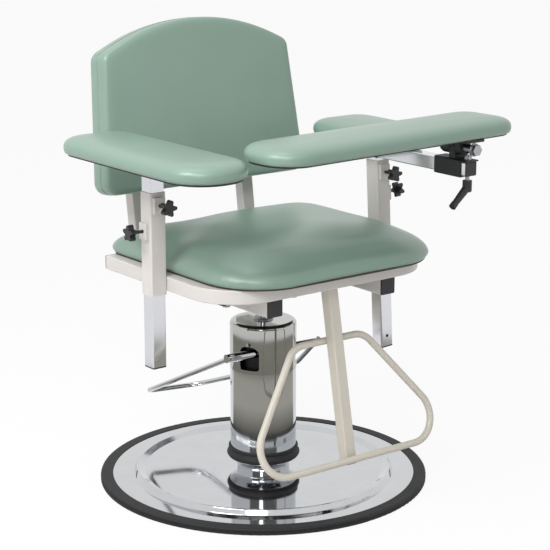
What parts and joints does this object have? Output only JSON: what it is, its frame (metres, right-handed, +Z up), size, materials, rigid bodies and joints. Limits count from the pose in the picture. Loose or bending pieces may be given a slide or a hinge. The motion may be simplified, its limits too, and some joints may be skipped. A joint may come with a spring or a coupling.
{
  "type": "phlebotomy chair",
  "caption": "Blood-draw chair with a padded seat and back, height-adjustable arm pads, a flip-up front arm pad and a footrest, on a round foot-pumped base.",
  "frame": {"origin": "on the floor, at the centre of the round base under the pump's axis", "axes": "+Z up, the sitter faces -Y, and the sitter's left is +X"},
  "size_m": [0.7101, 0.6311, 0.8393],
  "materials": {
    "vinyl": "soft satin vinyl upholstery, sage green",
    "plywood": "plywood board with a dark underside",
    "frame_paint": "light warm grey satin paint",
    "footrest_paint": "cream satin paint",
    "chrome": "polished chrome plating",
    "bright_tube": "bright chrome-plated tube",
    "black_steel": "black powder coat",
    "zinc": "zinc-plated steel",
    "cast": "machined cast iron, oiled",
    "rubber": "matt black rubber",
    "cap_plastic": "black moulded plastic",
    "knob_plastic": "black moulded knob"
  },
  "bodies": {
    "base": {"base_plate": "chrome", "base_rim": "rubber", "base_neck": "chrome", "base_bolts": "zinc", "bumper_ring": "rubber", "pump_tube": "chrome", "pump_cover": "chrome", "pump_body": "cast", "gland_nut": "zinc"},
    "ram": {"piston_ram": "chrome"},
    "pedal": {"pedal_rod": "chrome", "pedal_shaft": "chrome", "pedal_screws": "zinc"},
    "seat": {"swivel_hub": "black_steel", "mounting_plate": "black_steel", "plate_bolts": "zinc", "right_beam": "frame_paint", "left_beam": "frame_paint", "beam_caps": "cap_plastic", "seat_frame": "frame_paint", "frame_caps": "cap_plastic", "seat_board": "plywood", "seat_cushion": "vinyl", "seat_screws": "zinc", "right_upright": "frame_paint", "left_upright": "frame_paint", "back_board": "plywood", "back_cushion": "vinyl", "back_screws": "zinc", "right_post": "frame_paint", "left_post": "frame_paint", "knob_nuts": "frame_paint", "footrest_strut": "footrest_paint", "footrest_loop": "footrest_paint", "footrest_cap": "cap_plastic"},
    "right_arm": {"right_arm_tube": "bright_tube", "right_arm_plug": "cap_plastic", "right_arm_bracket": "black_steel", "right_arm_board": "plywood", "right_arm_pad": "vinyl"},
    "left_arm": {"left_arm_tube": "bright_tube", "left_arm_plug": "cap_plastic", "slide_rail": "bright_tube", "rail_plugs": "cap_plastic", "left_arm_bracket": "black_steel", "left_arm_board": "plywood", "left_arm_pad": "vinyl"},
    "carriage": {"slide_sleeve": "black_steel", "clamp_bolt": "zinc"},
    "handle": {"ratchet_handle": "black_steel"},
    "flip_arm": {"hinge_bracket": "black_steel", "hinge_bolt": "zinc", "friction_spacer": "zinc", "flip_board": "plywood", "flip_pad": "vinyl"},
    "right_front_knob": {"right_front_knob": "knob_plastic"},
    "right_side_knob": {"right_side_knob": "knob_plastic"},
    "left_front_knob": {"left_front_knob": "knob_plastic"},
    "left_side_knob": {"left_side_knob": "knob_plastic"}
  },
  "joints": [
    {"name": "seat_lift", "type": "slide", "parent": "base", "child": "ram", "axis": [0, 0, 1], "range_m": [0, 0.15]},
    {"name": "seat_swivel", "type": "hinge", "parent": "ram", "child": "seat", "pos_m": [0, 0, 0.345], "axis": [0, 0, 1], "range_deg": [-110, 110]},
    {"name": "pedal_press", "type": "hinge", "parent": "base", "child": "pedal", "pos_m": [-0.00237, -0.03392, 0.2505], "axis": [0.9976, -0.0698, 0], "range_deg": [-13, 8], "stiffness_Nm_per_rad": 40, "springref_deg": 1.72},
    {"name": "right_arm_height", "type": "slide", "parent": "seat", "child": "right_arm", "axis": [0, 0, 1], "range_m": [-0.03, 0.12]},
    {"name": "left_arm_height", "type": "slide", "parent": "seat", "child": "left_arm", "axis": [-0.0541, 0, 0.9985], "range_m": [0, 0.15]},
    {"name": "flip_arm_slide", "type": "slide", "parent": "left_arm", "child": "carriage", "axis": [0, 1, 0], "range_m": [0, 0.04]},
    {"name": "clamp_handle_turn", "type": "hinge", "parent": "carriage", "child": "handle", "pos_m": [0.25, -0.27, 0.5683], "axis": [0, 0, 1], "range_deg": [-80, 80]},
    {"name": "flip_arm_hinge", "type": "hinge", "parent": "carriage", "child": "flip_arm", "pos_m": [0.25, -0.25, 0.63097], "axis": [0, 1, 0], "range_deg": [0, 90]},
    {"name": "right_front_knob_turn", "type": "hinge", "parent": "seat", "child": "right_front_knob", "pos_m": [-0.25698, -0.028, 0.556], "axis": [0, -1, 0], "continuous": true},
    {"name": "right_side_knob_turn", "type": "hinge", "parent": "seat", "child": "right_side_knob", "pos_m": [-0.25698, -0.028, 0.511], "axis": [-1, 0, 0], "continuous": true},
    {"name": "left_front_knob_turn", "type": "hinge", "parent": "seat", "child": "left_front_knob", "pos_m": [0.25006, -0.028, 0.55581], "axis": [0, -1, 0], "continuous": true},
    {"name": "left_side_knob_turn", "type": "hinge", "parent": "seat", "child": "left_side_knob", "pos_m": [0.2525, -0.028, 0.51088], "axis": [0.9985, 0, 0.0541], "continuous": true}
  ]
}
